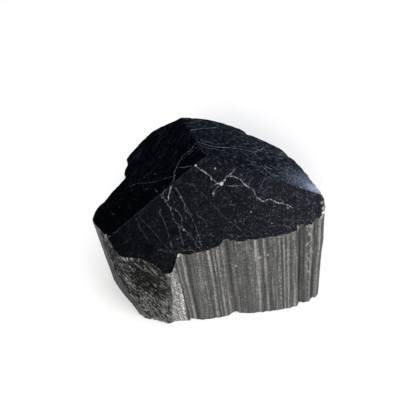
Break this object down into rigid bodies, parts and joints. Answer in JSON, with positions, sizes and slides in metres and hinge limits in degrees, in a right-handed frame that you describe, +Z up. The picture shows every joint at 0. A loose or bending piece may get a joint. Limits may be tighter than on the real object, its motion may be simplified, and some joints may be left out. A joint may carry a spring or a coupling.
{
  "type": "black tourmaline crystal",
  "caption": "Black tourmaline crystal end with natural grooved sides, a broken corner, a flat sawn base and a low point of three polished facets.",
  "frame": {"origin": "middle of the stone's box, on the plane of the sawn base that it rests on", "axes": "+Z up, square to the sawn base; -Y towards the grooved front side; +X towards the right of a viewer who faces that side"},
  "size_m": [0.0853, 0.0795, 0.054],
  "materials": {
    "tourmaline": "three polished black facets with pale hairline veins; natural sides satin grey-black with fine grooves"
  },
  "bodies": {
    "root": {"black_tourmaline": "tourmaline"}
  },
  "joints": []
}
